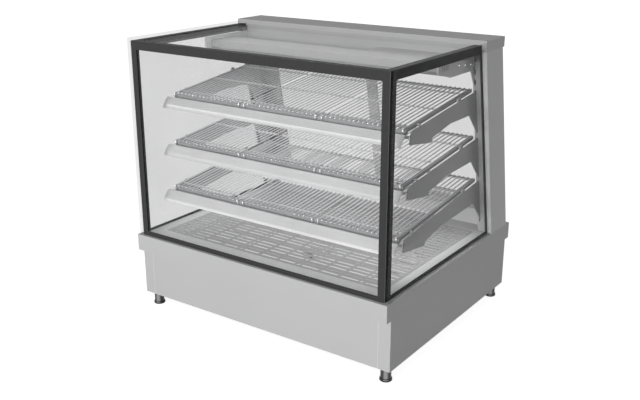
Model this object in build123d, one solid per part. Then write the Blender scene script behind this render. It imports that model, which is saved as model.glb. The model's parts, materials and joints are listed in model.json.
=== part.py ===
"""Heated counter display cabinet with three tilting wire-rack tiers and two rear sliding doors.

Millimetres, +Z up, customers stand at -Y and the operator at +Y.
The origin is the centre of the overall footprint, on the plane that the feet stand on.
"""
from build123d import *
import math
import os

os.makedirs("parts", exist_ok=True)

# Overall cabinet
cabinet_width = 900.0
base_depth = 715.0
collar_front = 22.0
collar_rear = 25.0
foot_height = 42.0
base_height = 150.0
collar_height = 51.0
sheet = 1.5
return_flange = 38.0
panel_fold = 12.0

# Glass box and its black frame
frame_inset = 14.0
frame_ledge = 11.0
frame_height = 597.0
frame_bar = 22.0
post_side_depth = 29.0
frame_wall = 3.0
top_bar_height = 25.0
bottom_bar_height = 13.5
rear_bar = 10.0
bar_corner = 2.0
glass_depth_top = 495.0
front_glass_thickness = 6.0
top_glass_thickness = 6.0
side_pane = 5.0
side_pane_rise = 7.0
spacer_width = 8.0
spacer_setback = 3.0
glazing_gap = 0.3
glazing_ledge = 6.0
top_glass_sink = 1.0

# Leaning rear body
lean_degrees = 11.4
rear_body_depth = 108.0
rear_body_gap = 2.0
header_rise = 13.0
header_cap_height = 30.0
header_overhang = 10.0
header_skirt_drop = 56.0
lintel_front = 12.0
lintel_rear = 5.0
sill_height = 38.0
sill_front = 12.0
sill_rear = 8.0

# Sliding doors and their tracks
door_setback = 82.0
door_height = 492.0
door_thickness = 8.0
door_pitch = 12.0
door_overlap = 40.0
door_stile = 34.0
door_rail = 30.0
door_glass = 4.0
door_glass_bite = 6.0
door_glass_gap = 0.1
door_running_gap = 0.5
track_fin = 2.0
track_base = 4.0
track_engagement = 9.0
jamb_width = 24.0
jamb_margin = 4.0
door_side_gap = 1.0
pull_height = 120.0
pull_width = 18.0
pull_depth = 5.0
pull_rim = 2.0
pull_rim_rise = 1.5

# Slotted uprights and shelf brackets
upright_depth = 20.0
upright_wall = 2.0
upright_length = 560.0
upright_slot_start = 40.0
upright_slot_pitch = 30.0
upright_slot_height = 14.0
upright_slot_width = 4.0
upright_foot_gap = 1.2
bracket_inset = 25.0
bracket_thickness = 3.0
bracket_tab_height = 10.0
bracket_tab_reach = 5.0
bracket_root = 137.0
bracket_gusset_rise = 65.0
bracket_gusset_run = 61.0
bracket_arm_drop = 29.0
bracket_knee_drop = 48.0
bracket_knee_step = 12.0
bracket_nose_drop = 42.0
bracket_nose_setback = 10.0
bracket_ear = 19.0
bracket_slot_play = 1.0
bracket_knee_reach = 130.0
bracket_arm_reach = 235.0

# Shelf tiers: front rail positions from the base front, and heights above the feet
shelf_tilt = 6.5
tier_fronts = (123.0, 117.0, 105.0)
tier_heights = (668.0, 520.0, 377.0)
shelf_rear_gap = 8.0
shelf_side_gap = 6.0
side_rail = 3.0
side_rail_height = 10.0
rail_depth = 16.0
rail_height = 15.0
rail_corner = 3.0
rear_rail_depth = 6.0
rear_rail_height = 6.0
ledge = 14.0
ledge_thickness = 2.0
pivot_setback = 95.0
pivot_pin = 8.0
pivot_clearance = 0.05
support_pin_reach = 60.0
rest_gap = 0.3

# Wire racks
rack_gap = 15.0
rack_side_gap = 1.0
rack_rear_gap = 2.0
rack_count = 3
wire = 3.5
wire_pitch = 14.8
cross_wire = 5.0
weld_bite = 0.6
cross_wire_start = 36.0
cross_wire_pitch = 150.0
cross_wire_rear = 10.0
lip_wire = 5.0
lip_drop = 12.0
lip_bend = 3.0

# Ticket strips on the front rails
ticket_overhang = 10.0
ticket_reach = 17.0
ticket_drop = 9.0
ticket_height = 38.0
ticket_wall = 1.5
ticket_lean = 38.0
ticket_bow = 3.0
ticket_flange_top = 15.0
ticket_flange_height = 9.0

# Heat lamp canopy under the top glass
canopy_front = 303.0
canopy_depth = 102.0
canopy_top = 808.0
canopy_front_lip = 21.0
canopy_rear_lip = 39.0
canopy_slope_depth = 46.0
canopy_end_plate = 3.0
canopy_end_front = 26.0
canopy_end_rise = 10.0
canopy_end_low = 2.0
canopy_end_foot = 58.0
canopy_end_foot_run = 22.0
canopy_end_hole = 7.0
canopy_end_hole_count = 3
canopy_end_hole_start = 5.0
canopy_end_hole_pitch = 37.0
canopy_end_hole_drop = 14.0
canopy_end_hole_fall = 4.0
canopy_glass = 4.0
canopy_glass_ledge = 5.0
lamp_diameter = 10.0
lamp_spacing = 24.0
lamp_holder_length = 26.0
lamp_holder_size = 20.0
lamp_grip = 17.0
junction_box_length = 300.0
junction_box_drop = 30.0

# Heated deck
deck_border_side = 36.0
deck_border_front = 50.0
deck_border_thickness = 3.0
deck_rear_gap = 14.0
deck_panel_thickness = 1.2
deck_panel_gap = 1.0
deck_slot_margin = 6.0
deck_slot_length = 58.0
deck_slot_width = 9.0
deck_slot_row_pitch = 20.3
deck_slot_column_pitch = 66.0
deck_dot_length = 11.0
deck_dot_pitch = 40.0
well_overlap = 12.0
well_depth = 72.0
well_wall = 1.2
well_lap = 4.0

# Heating element and circulation fan in the well
element_diameter = 8.0
element_side_gap = 78.0
element_pitch = 90.0
element_rise = 22.0
element_passes = 4
element_post = 10.0
element_post_inset = 60.0
fan_size = 120.0
fan_height = 38.0
fan_bore = 112.0
fan_hub = 42.0
fan_hub_height = 20.0
fan_hub_bite = 3.0
fan_blade_gap = 1.5
fan_blade_chord = 26.0
fan_blade_wall = 1.5
fan_blades = 7
fan_blade_pitch = 32.0
fan_shaft = 6.0
fan_shaft_gap = 1.0
fan_motor = 40.0
fan_motor_height = 12.0
fan_strut = 7.0
fan_strut_height = 4.0
fan_struts = 3

# Controls on the rear base panel
controls_height = 117.0
knob_inset = 82.0
knob_diameter = 44.0
knob_length = 20.0
knob_skirt = 4.0
knob_grip_diameter = 35.0
knob_pointer = 5.0
knob_shaft = 6.0
knob_shaft_length = 16.0
knob_shaft_gap = 0.5
thermostat_size = 38.0
thermostat_depth = 30.0
switch_offsets = (75.0, 115.0)
switch_width = 22.0
switch_height = 30.0
switch_depth = 24.0
switch_bezel = 3.0
switch_bezel_rim = 3.0
switch_wall = 2.5
switch_pocket = 14.0
switch_fit = 0.2
rocker_clearance = 0.4
rocker_end_gap = 1.0
rocker_half_thickness = 4.0
rocker_tilt = 8.0
rocker_pin = 3.0
rocker_pin_reach = 1.5
gland_offset = 220.0
gland_bore = 10.0
gland_wall = 2.9
gland_clearance = 0.1
gland_hex = 24.0
gland_head = 8.0
gland_flange = 4.0
gland_flange_rim = 2.0
gland_neck = 18.0
gland_nut = 5.0
vent_start = 60.0
vent_count = 12
vent_pitch = 24.0
vent_width = 6.0
vent_height = 70.0
terminal_width = 90.0
terminal_depth = 40.0
terminal_height = 28.0
terminal_setback = 60.0
terminal_poles = 5
terminal_hole = 8.0
terminal_hole_depth = 8.0

# Adjustable feet
foot_inset = 27.0
foot_pad = 34.0
foot_pad_height = 9.0
foot_pad_chamfer = 1.2
foot_body = 30.0
foot_stud = 10.0
foot_travel = 12.0
foot_boss = 26.0
foot_thread_hold = 22.0
thread_clearance = 0.05
stop_gap = 0.3

# Panel screws
screw_head = 8.0
screw_head_height = 2.4
screw_inset = 19.0

# Derived places
half_width = cabinet_width / 2
overall_depth = base_depth + collar_front + collar_rear
base_y = collar_front - overall_depth / 2
collar_y = -overall_depth / 2
collar_end = overall_depth / 2
base_end = base_y + base_depth
base_top = foot_height + base_height
foot_boss_height = foot_travel + foot_thread_hold
collar_top = base_top + collar_height
frame_x = half_width - frame_inset
bracket_x = frame_x - bracket_inset
upright_inner = bracket_x - shelf_side_gap
shelf_half_width = bracket_x - shelf_side_gap
rack_span = 2 * (shelf_half_width - side_rail - rack_side_gap)
rack_width = (rack_span - (rack_count - 1) * rack_gap) / rack_count
rack_pitch = rack_width + rack_gap
ticket_half_width = shelf_half_width + ticket_overhang
canopy_half_width = bracket_x - canopy_end_plate
deck_border_outer = frame_x - frame_wall - rest_gap
deck_border_inner = deck_border_outer - deck_border_side
well_half_width = deck_border_inner + well_overlap
element_half_span = well_half_width - element_side_gap
knob_x = -(half_width - return_flange - knob_inset)
switch_xs = [knob_x + offset for offset in switch_offsets]
gland_x = knob_x + gland_offset
frame_y = base_y - frame_ledge
frame_top = collar_top + frame_height
glass_rear_top = frame_y + glass_depth_top
lean = math.radians(lean_degrees)
header_top = frame_top + header_rise
cap_bottom = header_top - header_cap_height


def glass_rear(z):
    """Y of the sloping rear edge of the glass at height z."""
    return glass_rear_top + (frame_top - z) * math.tan(lean)


def leaning(setback, climb):
    """Point (y, z) set back square to the sloping rear plane and up along it."""
    y0 = glass_rear(collar_top)
    y = y0 + setback * math.cos(lean) - climb * math.sin(lean)
    z = collar_top + setback * math.sin(lean) + climb * math.cos(lean)
    return y, z


def block(x0, x1, y0, y1, z0, z1):
    """Box between two corners."""
    centre = Pos((x0 + x1) / 2, (y0 + y1) / 2, (z0 + z1) / 2)
    return centre * Box(abs(x1 - x0), abs(y1 - y0), abs(z1 - z0))


def slab(points, x0, x1):
    """Outline in the YZ plane, carried from x0 to x1."""
    face = make_face(Polyline(*points, close=True))
    return extrude(Plane(origin=(x0, 0, 0), x_dir=(0, 1, 0), z_dir=(1, 0, 0)) * face, x1 - x0)


def rod(x0, x1, y, z, diameter):
    """Round bar along X."""
    length = x1 - x0
    return Pos((x0 + x1) / 2, y, z) * Rot(0, 90, 0) * Cylinder(diameter / 2, length)


def mirrored(shape):
    """The same piece on the other side of the cabinet."""
    return mirror(shape, about=Plane.YZ)


def save(name, shape):
    """Write one node as its own STEP file."""
    shape.label = name
    export_step(shape, f"parts/{name}.step")


def group(solids):
    """Several separate solids kept in one node."""
    return Compound(children=list(solids))


# Base cabinet
def base_side():
    """End panel with the wider collar zone and a folded flange at front and rear."""
    outline = [
        (base_y, foot_height), (base_end, foot_height), (base_end, base_top),
        (collar_end, base_top), (collar_end, collar_top),
        (collar_y, collar_top), (collar_y, base_top), (base_y, base_top),
    ]
    panel = slab(outline, half_width - sheet, half_width)
    flange_x = half_width - return_flange
    front = block(flange_x, half_width, base_y, base_y + sheet, foot_height, base_top)
    rear = block(flange_x, half_width, base_end - sheet, base_end, foot_height, base_top)
    return panel + front + rear


def base_front():
    """Front panel between the two end flanges, stiffened by folds behind its ends."""
    edge = half_width - return_flange
    panel = block(-edge, edge, base_y, base_y + sheet, foot_height, base_top)
    for side in (-1, 1):
        fold = block(edge - sheet, edge, base_y, base_y + sheet + panel_fold,
                     foot_height + sheet, base_top)
        panel += fold if side > 0 else mirrored(fold)
    return panel


def base_rear():
    """Rear panel with vents, switch cut-outs, and holes for the thermostat and the cord gland."""
    edge = half_width - return_flange
    panel = block(-edge, edge, base_end - sheet, base_end, foot_height, base_top)
    for index in range(vent_count):
        x = vent_start + index * vent_pitch
        panel -= Pos(x, base_end, controls_height) * extrude(
            Plane.XZ * SlotOverall(vent_height, vent_width, rotation=90), 10, both=True)
    for x in switch_xs:
        panel -= block(x - switch_width / 2, x + switch_width / 2, base_end - 10, base_end + 10,
                       controls_height - switch_height / 2, controls_height + switch_height / 2)
    panel -= through_panel(knob_x, knob_shaft + 2 * knob_shaft_gap)
    panel -= through_panel(gland_x, gland_bore + 2 * (gland_wall + gland_clearance))
    return panel


def through_panel(x, diameter):
    """Round cutter through the rear base panel."""
    return Pos(x, base_end, controls_height) * Rot(90, 0, 0) * Cylinder(diameter / 2, 20)


def base_floor():
    """Bottom pan with four welded foot bosses."""
    pan = block(-half_width + sheet, half_width - sheet, base_y + sheet, base_end - sheet,
                foot_height, foot_height + sheet)
    for x, y in foot_places():
        boss = Pos(x, y, foot_height + foot_boss_height / 2) * Cylinder(foot_boss / 2, foot_boss_height)
        bore = Pos(x, y, foot_height + foot_boss_height / 2) * Cylinder(
            foot_stud / 2 + thread_clearance, foot_boss_height + 2)
        pan = pan + boss - bore
    return pan


def foot_places():
    """Centres of the four feet."""
    x = half_width - foot_inset
    front = base_y + foot_inset
    rear = base_end - foot_inset
    return [(-x, front), (x, front), (-x, rear), (x, rear)]


def foot(x, y):
    """Levelling foot: pad, body and the threaded stud that screws into the boss."""
    body_top = foot_height - stop_gap
    pad = Pos(x, y, foot_pad_height / 2) * Cylinder(foot_pad / 2, foot_pad_height)
    body_height = body_top - foot_pad_height
    body = Pos(x, y, foot_pad_height + body_height / 2) * Cylinder(foot_body / 2, body_height)
    stud_height = foot_boss_height - stop_gap
    stud = Pos(x, y, body_top + stud_height / 2) * Cylinder(foot_stud / 2, stud_height)
    shape = pad + body + stud
    rims = shape.edges().filter_by(GeomType.CIRCLE).filter_by(
        lambda edge: abs(edge.radius - foot_pad / 2) < 0.01)
    return chamfer(rims, foot_pad_chamfer)


def collar():
    """Folded band round the top of the base, open in the middle for the heated well."""
    x = half_width - sheet
    top = block(-x, x, collar_y, collar_end, collar_top - sheet, collar_top)
    open_x = well_half_width - well_lap
    well_front, well_rear = well_ends()
    top -= block(-open_x, open_x, well_front + well_lap, well_rear - well_lap, base_top, collar_top + 1)
    front = block(-x, x, collar_y, collar_y + sheet, base_top, collar_top)
    front += block(-x, x, collar_y, base_y, base_top, base_top + sheet)
    rear = block(-x, x, collar_end - sheet, collar_end, base_top, collar_top)
    rear += block(-x, x, base_end, collar_end, base_top, base_top + sheet)
    return top + front + rear


def deck_rear():
    """Rear edge of the opening under the deck."""
    return glass_rear(collar_top) - deck_rear_gap


# Heated deck and well
def deck_border():
    """Flat frame round the slotted deck, with an inner ledge that carries the panels."""
    front = frame_y + frame_wall + glazing_gap + front_glass_thickness + rest_gap
    rear = glass_rear(collar_top) - rest_gap
    z1 = collar_top + deck_border_thickness
    plate = block(-deck_border_outer, deck_border_outer, front, rear, collar_top, z1)
    plate -= block(-deck_border_inner, deck_border_inner, base_y + deck_border_front,
                   deck_rear(), collar_top + sheet, z1 + 1)
    return plate - block(-deck_border_inner + ledge, deck_border_inner - ledge,
                         base_y + deck_border_front + ledge, deck_rear() - ledge,
                         collar_top - 1, z1)


def deck_columns():
    """X and length of each column of slots: three long columns, then one of short slots, and so on."""
    limit = deck_border_inner - deck_panel_gap - deck_slot_margin
    period = 2 * (deck_slot_column_pitch + deck_dot_pitch)
    turns = int(limit / period) + 1
    columns = []
    for turn in range(-turns, turns + 1):
        middle = turn * period
        columns += [(middle + step * deck_slot_column_pitch, deck_slot_length) for step in (-1, 0, 1)]
        columns.append((middle + period / 2, deck_dot_length))
    return [(x, length) for x, length in columns if abs(x) + length / 2 <= limit]


def deck_panels():
    """Two lift-out slotted panels that meet between two columns of slots, just off the middle."""
    edge = deck_border_inner - deck_panel_gap
    y0 = base_y + deck_border_front + deck_panel_gap
    y1 = deck_rear() - deck_panel_gap
    z0 = collar_top + sheet + rest_gap
    z1 = z0 + deck_panel_thickness
    plate = block(-edge, edge, y0, y1, z0, z1)
    rows = int((y1 - y0 - 2 * deck_slot_margin - deck_slot_width) / deck_slot_row_pitch) + 1
    slots = Sketch()
    for x, length in deck_columns():
        slot = SlotOverall(length, deck_slot_width)
        slots += [Pos(x, 0) * place * slot for place in GridLocations(1, deck_slot_row_pitch, 1, rows)]
    plate -= extrude(Plane(origin=(0, (y0 + y1) / 2, z0 - 1)) * slots, deck_panel_thickness + 2)
    meet = -deck_slot_column_pitch / 2
    plate -= block(meet - deck_panel_gap / 2, meet + deck_panel_gap / 2, y0 - 1, y1 + 1, z0 - 1, z1 + 1)
    return group(plate.solids())


def well_ends():
    """Y of the well's front and rear walls, which lie outside the deck's opening."""
    return base_y + deck_border_front - well_overlap, deck_rear() + well_overlap


def well_bottom():
    """Upper face of the well's floor."""
    return collar_top - sheet - well_depth + well_wall


def well():
    """Pan under the deck that holds the heating element, open above the fan."""
    y0, y1 = well_ends()
    z0 = well_bottom() - well_wall
    z1 = collar_top - sheet
    outer = block(-well_half_width, well_half_width, y0, y1, z0, z1)
    inner = block(-well_half_width + well_wall, well_half_width - well_wall,
                  y0 + well_wall, y1 - well_wall, well_bottom(), z1 + 1)
    pan = outer - inner
    pan -= Pos(0, fan_centre(), z0) * Cylinder(fan_bore / 2, 4 * well_wall)
    post_x = element_half_span - element_post_inset
    top = element_height() - element_diameter / 2 - rest_gap
    for x in (-post_x, post_x):
        for y in element_rows():
            pan += block(x - element_post / 2, x + element_post / 2,
                         y - element_post / 2, y + element_post / 2, well_bottom(), top)
    return pan


def element_height():
    """Centre height of the heating element."""
    return well_bottom() + element_rise


def element_rows():
    """Y places of the element's long passes."""
    middle = fan_centre()
    first = middle - element_pitch * (element_passes - 1) / 2
    return [first + index * element_pitch for index in range(element_passes)]


def fan_centre():
    """Y of the fan's axis, in the middle of the well."""
    return sum(well_ends()) / 2


def heating_element():
    """Tubular element bent back and forth across the well."""
    rows = element_rows()
    z = element_height()
    points = []
    for index, y in enumerate(rows):
        side = -1 if index % 2 == 0 else 1
        points += [(side * element_half_span, y, z), (-side * element_half_span, y, z)]
    path = FilletPolyline(*points, radius=element_pitch * 0.3)
    start = Plane(origin=path @ 0, z_dir=path % 0)
    return sweep(start * Circle(element_diameter / 2), path)


def fan_bottom():
    """Lower face of the fan's frame."""
    return well_bottom() - well_wall - fan_height


def fan_housing():
    """Square fan frame under the well, with the motor on its struts."""
    y = fan_centre()
    z0 = fan_bottom()
    centre = Pos(0, y, z0 + fan_height / 2)
    frame = centre * (Box(fan_size, fan_size, fan_height) - Cylinder(fan_bore / 2, fan_height + 2))
    motor = Pos(0, y, z0 + fan_motor_height / 2) * Cylinder(fan_motor / 2, fan_motor_height)
    reach = (fan_bore + fan_size) / 4
    for index in range(fan_struts):
        strut = Pos(reach / 2, 0, 0) * Box(reach, fan_strut, fan_strut_height)
        turn = Rot(0, 0, (index + 0.25) * 360 / fan_struts)
        motor += Pos(0, y, z0 + fan_strut_height / 2) * turn * strut
    bore = Pos(0, y, z0 + fan_motor_height / 2) * Cylinder(
        fan_shaft / 2 + pivot_clearance, 2 * fan_motor_height)
    return frame + motor - bore


def fan_rotor():
    """Hub, shaft and blades."""
    y = fan_centre()
    hub_bottom = fan_bottom() + fan_motor_height + fan_shaft_gap
    middle = hub_bottom + fan_hub_height / 2
    rotor = Pos(0, y, middle) * Cylinder(fan_hub / 2, fan_hub_height)
    rotor += Pos(0, y, hub_bottom - fan_motor_height / 2) * Cylinder(fan_shaft / 2, fan_motor_height)
    start = fan_hub / 2 - fan_hub_bite
    reach = fan_bore / 2 - fan_blade_gap
    for index in range(fan_blades):
        blade = Pos((start + reach) / 2, 0, 0) * Rot(fan_blade_pitch, 0, 0) * Box(
            reach - start, fan_blade_chord, fan_blade_wall)
        turn = Rot(0, 0, index * 360 / fan_blades)
        rotor += Pos(0, y, middle) * turn * blade
    return rotor


# Glass box
def glass_frame():
    """Welded black frame of thin angles: front ring, side rings, and top bars with glazing ledges."""
    bottom1 = collar_top + bottom_bar_height
    top0 = frame_top - top_bar_height
    post_x = frame_x - frame_bar
    frame = block(-frame_x, frame_x, frame_y, frame_y + frame_wall, collar_top, frame_top)
    frame -= block(-post_x, post_x, frame_y - 1, frame_y + frame_wall + 1, bottom1, top0)
    frame += slab([(frame_y + inward, z) for inward, z in top_bar_section()], -frame_x, frame_x)
    side = side_ring(collar_top + rear_bar, top0) + side_top_bar()
    frame += side + mirrored(side)
    corners = frame.edges().filter_by(Axis.Z).filter_by(
        lambda edge: abs(edge.center().Y - frame_y) < 0.01 and abs(abs(edge.center().X) - frame_x) < 0.01)
    frame = fillet(corners, bar_corner)
    return frame - block(-frame_x - 1, frame_x + 1, header_front() - rest_gap, collar_end,
                         cap_bottom - rest_gap, frame_top + 1)


def top_bar_section():
    """Section of a top bar, inwards from its outer face: face leg, top leg and glazing ledge."""
    low = frame_top - top_bar_height
    rim = frame_top - frame_wall
    seat = top_glass_bottom() - glazing_gap
    inner = frame_bar - frame_wall
    end = frame_bar + glazing_ledge
    return [
        (0, low), (0, frame_top), (frame_bar, frame_top), (frame_bar, seat), (end, seat),
        (end, seat - frame_wall), (inner, seat - frame_wall), (inner, rim), (frame_wall, rim),
        (frame_wall, low),
    ]


def side_top_bar():
    """Right-hand top bar, from the front bar back to the sloping rear."""
    start = frame_y + frame_bar - frame_wall
    face = make_face(Polyline(*top_bar_section(), close=True))
    plane = Plane(origin=(frame_x, start, 0), x_dir=(-1, 0, 0), z_dir=(0, 1, 0))
    return extrude(plane * face, glass_rear(frame_top) - start)


def side_ring(bottom1, top0):
    """Right-hand outer leg of the frame: post, bottom strip, sloping rear strip and top strip."""
    outer = [(frame_y, collar_top), (glass_rear(collar_top), collar_top),
             (glass_rear(frame_top), frame_top), (frame_y, frame_top)]
    front = frame_y + post_side_depth
    inner = [(front, bottom1), (glass_rear(bottom1) - rear_bar, bottom1),
             (glass_rear(top0) - rear_bar, top0), (front, top0)]
    ring = slab(outer, frame_x - frame_wall, frame_x)
    return ring - slab(inner, frame_x - frame_wall - 1, frame_x + 1)


def front_glass():
    """Front pane behind the front legs of the black frame, standing on the collar."""
    x = frame_x - frame_wall - glazing_gap
    y0 = frame_y + frame_wall + glazing_gap
    return block(-x, x, y0, y0 + front_glass_thickness, collar_top + glazing_gap,
                 frame_top - frame_wall - glazing_gap)


def side_glass():
    """Outer side pane, flush with the base and standing a little above the frame."""
    z1 = frame_top + side_pane_rise
    outline = [
        (frame_y, collar_top + glazing_gap), (glass_rear(collar_top), collar_top + glazing_gap),
        (glass_rear(cap_bottom) - glazing_gap, cap_bottom - glazing_gap),
        (header_front() - glazing_gap, cap_bottom - glazing_gap),
        (header_front() - glazing_gap, z1), (frame_y, z1),
    ]
    return slab(outline, half_width - side_pane, half_width)


def side_spacer():
    """Clear edge spacer between the side pane and the black frame."""
    x0 = frame_x
    x1 = half_width - side_pane
    y0 = frame_y + spacer_setback
    z0 = collar_top + glazing_gap
    z1 = frame_top - spacer_setback
    r0 = glass_rear(z0) - spacer_setback
    r1 = glass_rear(z1) - spacer_setback
    outer = [(y0, z0), (r0, z0), (r1, z1), (y0, z1)]
    w = spacer_width
    inner = [(y0 + w, z0 + w), (r0 - w, z0 + w), (r1 - w, z1 - w), (y0 + w, z1 - w)]
    return slab(outer, x0, x1) - slab(inner, x0 - 1, x1 + 1)


def top_glass_bottom():
    """Underside of the top pane."""
    return frame_top - top_glass_sink - top_glass_thickness


def top_glass():
    """Top pane on the frame's ledges, between the top bars and the header."""
    x = frame_x - frame_bar - glazing_gap
    z0 = top_glass_bottom()
    return block(-x, x, frame_y + frame_bar + glazing_gap, header_front() - glazing_gap,
                 z0, z0 + top_glass_thickness)


# Leaning rear body
def header_front():
    """Y of the header's front face."""
    return glass_rear(frame_top) + rear_body_gap


def header_back():
    """Y of the header's rear face."""
    return glass_rear(cap_bottom) + rear_body_gap + rear_body_depth + header_overhang


def leaning_strip(x0, x1, n0, n1, t0, t1):
    """Bar along X whose section is square to the sloping rear plane."""
    return slab([leaning(n0, t0), leaning(n1, t0), leaning(n1, t1), leaning(n0, t1)], x0, x1)


def track_section():
    """Setbacks of the front and rear edges of the door tracks."""
    front = door_setback - track_fin - door_running_gap
    rear = door_setback + door_pitch + door_thickness + track_fin + door_running_gap
    return front, rear


def track_top():
    """Climb of the upper face of the upper track."""
    return door_top() + door_running_gap + track_base


def header():
    """Folded cap across the rear top, with the front skirt and the lintel over the doors."""
    cap = block(-half_width, half_width, header_front(), header_back(), cap_bottom, header_top)
    cap -= block(-half_width + sheet, half_width - sheet, header_front() + sheet,
                 header_back() - sheet, cap_bottom - 1, header_top - sheet)
    skirt = frame_x - frame_bar - rest_gap
    cap += block(-skirt, skirt, header_front(), header_front() + sheet, cap_bottom - header_skirt_drop,
                 cap_bottom + 5)
    x = frame_x - rest_gap
    return cap + lintel(0, -x, x) - lintel(sheet, -x - 1, x + 1)


def lintel(wall, x0, x1):
    """Section above the upper track, drawn in by a wall thickness."""
    front, rear = track_section()
    low = track_top() + wall
    a = front - lintel_front + wall
    b = rear + lintel_rear - wall
    top = header_top - (sheet + wall if wall else sheet / 2)
    low_front = leaning(a, low)
    low_rear = leaning(b, low)
    return slab([low_front, low_rear, (low_rear[0], top), (low_front[0], top)], x0, x1)


def door_bottom():
    """Climb of the doors' lower edge along the slope."""
    return sill_height + track_base + door_running_gap


def door_top():
    """Climb of the doors' upper edge along the slope."""
    return door_bottom() + door_height


def pillar():
    """Leaning side wall of the rear body, a folded box open at both ends."""
    y0 = rear_body_gap
    y1 = rear_body_gap + rear_body_depth

    def ring(a, b, x0, x1, low, high):
        points = [(glass_rear(low) + a, low), (glass_rear(low) + b, low),
                  (glass_rear(high) + b, high), (glass_rear(high) + a, high)]
        return slab(points, x0, x1)

    outer = ring(y0, y1, frame_x, half_width, collar_top, cap_bottom)
    inner = ring(y0 + sheet, y1 - sheet, frame_x + sheet, half_width - sheet,
                 collar_top - 5, cap_bottom + 5)
    return outer - inner


def jamb():
    """Folded door jamb on the inner face of the side wall."""
    front, rear = track_section()
    a = front - jamb_margin
    b = rear + jamb_margin
    x0 = frame_x - jamb_width
    low = sill_height + rest_gap
    high = track_top() - rest_gap
    outer = leaning_strip(x0, frame_x, a, b, low, high)
    return outer - leaning_strip(x0 + sheet, frame_x + 1, a + sheet, b - sheet, low - 1, high + 1)


def sill():
    """Folded bottom rail of the rear body, standing on the collar."""
    front, rear = track_section()
    x = frame_x - rest_gap
    return sill_section(0, front - sill_front, rear + sill_rear, -x, x) - sill_section(
        sheet, front - sill_front, rear + sill_rear, -x - 1, x + 1)


def sill_section(wall, a, b, x0, x1):
    """Outline of the bottom rail, drawn in by a wall thickness."""
    front, z_front = leaning(a + wall, sill_height - wall)
    back, z_back = leaning(b - wall, sill_height - wall)
    floor = collar_top + wall
    return slab([(front, floor), (back, floor), (back, z_back), (front, z_front)], x0, x1)


def track(low):
    """Three-fin door track, fins up on the sill or down under the lintel."""
    a, b = track_section()
    x = frame_x - jamb_width - rest_gap
    if low:
        base0, base1 = sill_height, sill_height + track_base
        fin0, fin1 = base1, base1 + track_engagement
    else:
        base0, base1 = track_top() - track_base, track_top()
        fin0, fin1 = base0 - track_engagement, base0
    shape = leaning_strip(-x, x, a, b, base0, base1)
    middle = door_setback + (door_pitch + door_thickness) / 2
    for start in (a, middle - track_fin / 2, b - track_fin):
        shape += leaning_strip(-x, x, start, start + track_fin, fin0, fin1)
    return shape


def door_span(side):
    """X limits of one door when closed."""
    edge = frame_x - jamb_width - door_side_gap
    near = door_overlap / 2
    return (-edge, near) if side < 0 else (-near, edge)


def door_plane(side):
    """Setback of one door's front face."""
    return door_setback + (door_pitch if side > 0 else 0.0)


def door_panel_slab(side, x0, x1, t0, t1, depth0, depth1):
    """Flat piece lying in the plane of one door."""
    n = door_plane(side)
    return leaning_strip(x0, x1, n + depth0, n + depth1, t0, t1)


def door_frame(side):
    """Door frame with a groove for its pane and a finger cup in the outer stile."""
    x0, x1 = door_span(side)
    t0, t1 = door_bottom(), door_top()
    shape = door_panel_slab(side, x0, x1, t0, t1, 0, door_thickness)
    shape -= door_panel_slab(side, x0 + door_stile, x1 - door_stile, t0 + door_rail, t1 - door_rail,
                             -1, door_thickness + 1)
    groove = (door_thickness - door_glass) / 2
    bite = door_glass_bite + glazing_gap
    shape -= door_panel_slab(side, x0 + door_stile - bite, x1 - door_stile + bite,
                             t0 + door_rail - bite, t1 - door_rail + bite,
                             groove, door_thickness - groove)
    shape += cup_slab(side, pull_rim, door_thickness, door_thickness + pull_rim_rise)
    return shape - cup_slab(side, 0, door_thickness - pull_depth, door_thickness + pull_rim_rise + 1)


def door_pane(side):
    """Glass of one door, let into the frame's groove."""
    x0, x1 = door_span(side)
    t0, t1 = door_bottom(), door_top()
    groove = (door_thickness - door_glass) / 2 + door_glass_gap
    bite = door_glass_bite
    return door_panel_slab(side, x0 + door_stile - bite, x1 - door_stile + bite,
                           t0 + door_rail - bite, t1 - door_rail + bite,
                           groove, door_thickness - groove)


def cup_slab(side, rim, depth0, depth1):
    """Slab over a door's finger cup, in the operator's face of the outer stile."""
    x0, x1 = door_span(side)
    centre = x0 + door_stile / 2 if side < 0 else x1 - door_stile / 2
    middle = (door_bottom() + door_top()) / 2
    half_x = pull_width / 2 + rim
    half_t = pull_height / 2 + rim
    return door_panel_slab(side, centre - half_x, centre + half_x, middle - half_t, middle + half_t,
                           depth0, depth1)


# Shelf supports
def slot_climbs():
    """Lower ends of the upright's slots."""
    count = int((upright_length - upright_slot_start) / upright_slot_pitch)
    return [upright_slot_start + index * upright_slot_pitch for index in range(count)]


def upright():
    """Slotted channel that leans with the rear body and takes the shelf brackets."""
    x0 = upright_inner
    x1 = frame_x - rest_gap
    low = deck_border_thickness + upright_foot_gap
    shape = leaning_strip(x0, x1, 0, upright_depth, low, upright_length)
    shape -= leaning_strip(x0 + upright_wall, x1 - upright_wall, upright_wall, upright_depth + 1,
                           0, upright_length + 1)
    middle = bracket_x + bracket_thickness / 2
    half = upright_slot_width / 2
    for climb in slot_climbs():
        shape -= leaning_strip(middle - half, middle + half, -1, upright_wall + 1,
                               climb, climb + upright_slot_height)
    return shape


def shelf_point(tier, along, above):
    """Point (y, z) along a tilted shelf from its front edge and square above it."""
    tilt = math.radians(shelf_tilt)
    y = base_y + tier_fronts[tier] + along * math.cos(tilt) - above * math.sin(tilt)
    z = tier_heights[tier] + along * math.sin(tilt) + above * math.cos(tilt)
    return y, z


def shelf_length(tier):
    """Length of a tier from its front edge to just before the sloping rear."""
    tilt = math.radians(shelf_tilt)
    y = base_y + tier_fronts[tier]
    z = tier_heights[tier]
    run = glass_rear(z) - y
    return run / (math.cos(tilt) + math.sin(tilt) * math.tan(lean)) - shelf_rear_gap


def pivot_level():
    """Height of the pins below the top wires, square to the shelf."""
    return -(side_rail_height / 2)


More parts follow.
